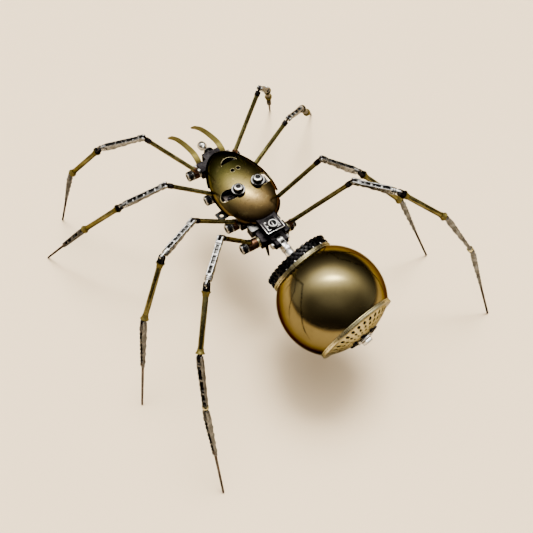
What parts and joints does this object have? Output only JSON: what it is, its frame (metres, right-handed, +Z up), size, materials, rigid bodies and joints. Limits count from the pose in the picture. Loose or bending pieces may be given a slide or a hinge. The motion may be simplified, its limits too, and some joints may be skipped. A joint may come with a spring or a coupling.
{
  "type": "posable metal spider",
  "caption": "Posable metal spider: a pierced brass dome and a hollow brass sphere on a waist with tilt and turn, carried by hinged tubular legs that hold their pose.",
  "frame": {"origin": "centre of the footprint's box, on the floor", "axes": "+Z up, the head faces -Y, +X is the spider's left"},
  "size_m": [0.2018, 0.2112, 0.0998],
  "materials": {
    "antique_brass": "aged, brushed through on the crown",
    "polished_brass": "polished",
    "light_brass": "satin, light",
    "brass_tube": "satin with dark edges",
    "chrome": "bright plated",
    "steel": "satin grey",
    "dark_steel": "dark",
    "black_oxide": "blackened"
  },
  "bodies": {
    "body": {"chassis": "dark_steel", "prosoma_shell": "antique_brass", "fang_axle": "steel", "front_stud": "chrome", "shell_screw_left": "steel", "shell_screw_right": "steel", "waist_screw": "chrome", "hip_screw_left_1": "steel", "hip_screw_left_2": "steel", "hip_screw_left_3": "steel", "hip_screw_left_4": "steel", "hip_screw_right_1": "steel", "hip_screw_right_2": "steel", "hip_screw_right_3": "steel", "hip_screw_right_4": "steel"},
    "waist": {"waist_link": "dark_steel", "waist_pin": "chrome"},
    "abdomen": {"abdomen_stem": "chrome", "gear_ring": "black_oxide", "front_flange": "light_brass", "abdomen_shell": "polished_brass", "rear_cap": "light_brass", "rear_nut": "chrome"},
    "fang_left": {"fang_left": "brass_tube"},
    "fang_right": {"fang_right": "brass_tube"},
    "femur_left_1": {"femur_left_1": "brass_tube"},
    "tibia_left_1": {"tibia_left_1": "steel"},
    "metatarsus_left_1": {"metatarsus_left_1": "brass_tube"},
    "tarsus_left_1": {"tarsus_left_1": "steel"},
    "femur_left_2": {"femur_left_2": "brass_tube"},
    "tibia_left_2": {"tibia_left_2": "steel"},
    "metatarsus_left_2": {"metatarsus_left_2": "brass_tube"},
    "tarsus_left_2": {"tarsus_left_2": "steel"},
    "femur_left_3": {"femur_left_3": "brass_tube"},
    "tibia_left_3": {"tibia_left_3": "steel"},
    "metatarsus_left_3": {"metatarsus_left_3": "brass_tube"},
    "tarsus_left_3": {"tarsus_left_3": "steel"},
    "femur_left_4": {"femur_left_4": "brass_tube"},
    "tibia_left_4": {"tibia_left_4": "steel"},
    "metatarsus_left_4": {"metatarsus_left_4": "brass_tube"},
    "tarsus_link_left_4": {"tarsus_link_left_4": "dark_steel"},
    "tarsus_left_4": {"tarsus_left_4": "steel"},
    "femur_right_1": {"femur_right_1": "brass_tube"},
    "tibia_right_1": {"tibia_right_1": "steel"},
    "metatarsus_right_1": {"metatarsus_right_1": "brass_tube"},
    "tarsus_right_1": {"tarsus_right_1": "steel"},
    "femur_right_2": {"femur_right_2": "brass_tube"},
    "tibia_right_2": {"tibia_right_2": "steel"},
    "metatarsus_right_2": {"metatarsus_right_2": "brass_tube"},
    "tarsus_right_2": {"tarsus_right_2": "steel"},
    "femur_right_3": {"femur_right_3": "brass_tube"},
    "tibia_right_3": {"tibia_right_3": "steel"},
    "metatarsus_right_3": {"metatarsus_right_3": "brass_tube"},
    "tarsus_right_3": {"tarsus_right_3": "steel"},
    "femur_right_4": {"femur_right_4": "brass_tube"},
    "tibia_right_4": {"tibia_right_4": "steel"},
    "metatarsus_right_4": {"metatarsus_right_4": "brass_tube"},
    "tarsus_link_right_4": {"tarsus_link_right_4": "dark_steel"},
    "tarsus_right_4": {"tarsus_right_4": "steel"}
  },
  "joints": [
    {"name": "waist_yaw", "type": "hinge", "parent": "body", "child": "waist", "pos_m": [-0.0014, 0.01648, 0.06], "axis": [0, 0, 1], "range_deg": [-10, 10]},
    {"name": "waist_tilt", "type": "hinge", "parent": "waist", "child": "abdomen", "pos_m": [-0.00007, 0.02532, 0.06252], "axis": [0.989, 0.1478, 0], "range_deg": [-10, 10]},
    {"name": "fang_left_lift", "type": "hinge", "parent": "body", "child": "fang_left", "pos_m": [0.0065, -0.04692, 0.054], "axis": [1, 0, 0], "range_deg": [-10, 8]},
    {"name": "fang_right_lift", "type": "hinge", "parent": "body", "child": "fang_right", "pos_m": [-0.0093, -0.04692, 0.054], "axis": [1, 0, 0], "range_deg": [-10, 8]},
    {"name": "hip_left_1", "type": "hinge", "parent": "body", "child": "femur_left_1", "pos_m": [0.0123, -0.04092, 0.057], "axis": [1, 0, 0], "range_deg": [-12, 12]},
    {"name": "knee_left_1", "type": "hinge", "parent": "femur_left_1", "child": "tibia_left_1", "pos_m": [0.03417, -0.056, 0.08492], "axis": [-0.621, -0.782, 0.0528], "range_deg": [-10, 25]},
    {"name": "ankle_left_1", "type": "hinge", "parent": "tibia_left_1", "child": "metatarsus_left_1", "pos_m": [0.05362, -0.07233, 0.07198], "axis": [-0.6428, -0.766, 0], "range_deg": [-15, 20]},
    {"name": "toe_left_1", "type": "hinge", "parent": "metatarsus_left_1", "child": "tarsus_left_1", "pos_m": [0.07011, -0.08617, 0.04631], "axis": [-0.6504, -0.7595, -0.0084], "range_deg": [-15, 20]},
    {"name": "hip_left_2", "type": "hinge", "parent": "body", "child": "femur_left_2", "pos_m": [0.0123, -0.02112, 0.057], "axis": [1, 0, 0], "range_deg": [-12, 12]},
    {"name": "knee_left_2", "type": "hinge", "parent": "femur_left_2", "child": "tibia_left_2", "pos_m": [0.03851, -0.02375, 0.08201], "axis": [-0.2947, -0.9263, 0.235], "range_deg": [-10, 25]},
    {"name": "ankle_left_2", "type": "hinge", "parent": "tibia_left_2", "child": "metatarsus_left_2", "pos_m": [0.06047, -0.03445, 0.06734], "axis": [-0.1455, -0.8902, 0.4318], "range_deg": [-15, 20]},
    {"name": "toe_left_2", "type": "hinge", "parent": "metatarsus_left_2", "child": "tarsus_left_2", "pos_m": [0.08044, -0.05063, 0.04072], "axis": [-0.1354, -0.8885, 0.4384], "range_deg": [-15, 20]},
    {"name": "hip_left_3", "type": "hinge", "parent": "body", "child": "femur_left_3", "pos_m": [0.0123, 0.00088, 0.057], "axis": [1, 0, 0], "range_deg": [-12, 12]},
    {"name": "knee_left_3", "type": "hinge", "parent": "femur_left_3", "child": "tibia_left_3", "pos_m": [0.03882, 0.00593, 0.0859], "axis": [0.3318, -0.9312, -0.151], "range_deg": [-10, 25]},
    {"name": "ankle_left_3", "type": "hinge", "parent": "tibia_left_3", "child": "metatarsus_left_3", "pos_m": [0.06095, 0.01442, 0.08215], "axis": [0.3383, -0.9336, -0.1181], "range_deg": [-15, 20]},
    {"name": "toe_left_3", "type": "hinge", "parent": "metatarsus_left_3", "child": "tarsus_left_3", "pos_m": [0.08043, 0.02522, 0.0526], "axis": [0.1737, -0.9564, -0.2349], "range_deg": [-15, 20]},
    {"name": "hip_left_4", "type": "hinge", "parent": "body", "child": "femur_left_4", "pos_m": [0.0108, 0.01648, 0.057], "axis": [1, 0, 0], "range_deg": [-12, 12]},
    {"name": "knee_left_4", "type": "hinge", "parent": "femur_left_4", "child": "tibia_left_4", "pos_m": [0.03645, 0.02932, 0.098], "axis": [0.6473, -0.7479, -0.1471], "range_deg": [-10, 25]},
    {"name": "ankle_left_4", "type": "hinge", "parent": "tibia_left_4", "child": "metatarsus_left_4", "pos_m": [0.05313, 0.04487, 0.09231], "axis": [0.608, -0.7486, -0.2643], "range_deg": [-15, 20]},
    {"name": "link_left_4", "type": "hinge", "parent": "metatarsus_left_4", "child": "tarsus_link_left_4", "pos_m": [0.07022, 0.06597, 0.07185], "axis": [0.5966, -0.7528, -0.2781], "range_deg": [-15, 15]},
    {"name": "toe_left_4", "type": "hinge", "parent": "tarsus_link_left_4", "child": "tarsus_left_4", "pos_m": [0.07668, 0.08049, 0.04641], "axis": [0.2763, -0.8632, -0.4225], "range_deg": [-15, 20]},
    {"name": "hip_right_1", "type": "hinge", "parent": "body", "child": "femur_right_1", "pos_m": [-0.0118, -0.04092, 0.057], "axis": [1, 0, 0], "range_deg": [-12, 12]},
    {"name": "knee_right_1", "type": "hinge", "parent": "femur_right_1", "child": "tibia_right_1", "pos_m": [-0.03678, -0.05303, 0.0866], "axis": [-0.577, 0.8022, -0.1538], "range_deg": [-10, 25]},
    {"name": "ankle_right_1", "type": "hinge", "parent": "tibia_right_1", "child": "metatarsus_right_1", "pos_m": [-0.05077, -0.06703, 0.0661], "axis": [-0.1969, 0.8671, -0.4576], "range_deg": [-15, 20]},
    {"name": "toe_right_1", "type": "hinge", "parent": "metatarsus_right_1", "child": "tarsus_right_1", "pos_m": [-0.0629, -0.08372, 0.0397], "axis": [-0.809, 0.5878, 0], "range_deg": [-15, 20]},
    {"name": "hip_right_2", "type": "hinge", "parent": "body", "child": "femur_right_2", "pos_m": [-0.0118, -0.02442, 0.057], "axis": [1, 0, 0], "range_deg": [-12, 12]},
    {"name": "knee_right_2", "type": "hinge", "parent": "femur_right_2", "child": "tibia_right_2", "pos_m": [-0.04109, -0.03026, 0.08081], "axis": [-0.4021, 0.8632, -0.3054], "range_deg": [-10, 25]},
    {"name": "ankle_right_2", "type": "hinge", "parent": "tibia_right_2", "child": "metatarsus_right_2", "pos_m": [-0.06017, -0.04464, 0.06528], "axis": [-0.4368, 0.861, -0.2608], "range_deg": [-15, 20]},
    {"name": "toe_right_2", "type": "hinge", "parent": "metatarsus_right_2", "child": "tarsus_right_2", "pos_m": [-0.07734, -0.06181, 0.03736], "axis": [0.8745, -0.1038, -0.4737], "range_deg": [-15, 20]},
    {"name": "hip_right_3", "type": "hinge", "parent": "body", "child": "femur_right_3", "pos_m": [-0.0118, -0.00032, 0.057], "axis": [1, 0, 0], "range_deg": [-12, 12]},
    {"name": "knee_right_3", "type": "hinge", "parent": "femur_right_3", "child": "tibia_right_3", "pos_m": [-0.03485, 0.00931, 0.09033], "axis": [0.4586, 0.8872, 0.0503], "range_deg": [-10, 25]},
    {"name": "ankle_right_3", "type": "hinge", "parent": "tibia_right_3", "child": "metatarsus_right_3", "pos_m": [-0.05302, 0.01939, 0.07833], "axis": [0.4634, 0.8852, 0.0412], "range_deg": [-15, 20]},
    {"name": "toe_right_3", "type": "hinge", "parent": "metatarsus_right_3", "child": "tarsus_right_3", "pos_m": [-0.07568, 0.03247, 0.05217], "axis": [0.4502, 0.8912, 0.0557], "range_deg": [-15, 20]},
    {"name": "hip_right_4", "type": "hinge", "parent": "body", "child": "femur_right_4", "pos_m": [-0.0118, 0.01648, 0.057], "axis": [1, 0, 0], "range_deg": [-12, 12]},
    {"name": "knee_right_4", "type": "hinge", "parent": "femur_right_4", "child": "tibia_right_4", "pos_m": [-0.03542, 0.03478, 0.09843], "axis": [0.6412, 0.7673, 0.0104], "range_deg": [-10, 25]},
    {"name": "ankle_right_4", "type": "hinge", "parent": "tibia_right_4", "child": "metatarsus_right_4", "pos_m": [-0.05309, 0.04961, 0.09395], "axis": [0.6592, 0.7214, -0.2122], "range_deg": [-15, 20]},
    {"name": "link_right_4", "type": "hinge", "parent": "metatarsus_right_4", "child": "tarsus_link_right_4", "pos_m": [-0.07587, 0.0644, 0.07349], "axis": [0.2329, 0.8926, 0.3859], "range_deg": [-15, 15]},
    {"name": "toe_right_4", "type": "hinge", "parent": "tarsus_link_right_4", "child": "tarsus_right_4", "pos_m": [-0.08846, 0.07791, 0.04985], "axis": [0.5581, 0.8128, 0.167], "range_deg": [-15, 20]}
  ]
}
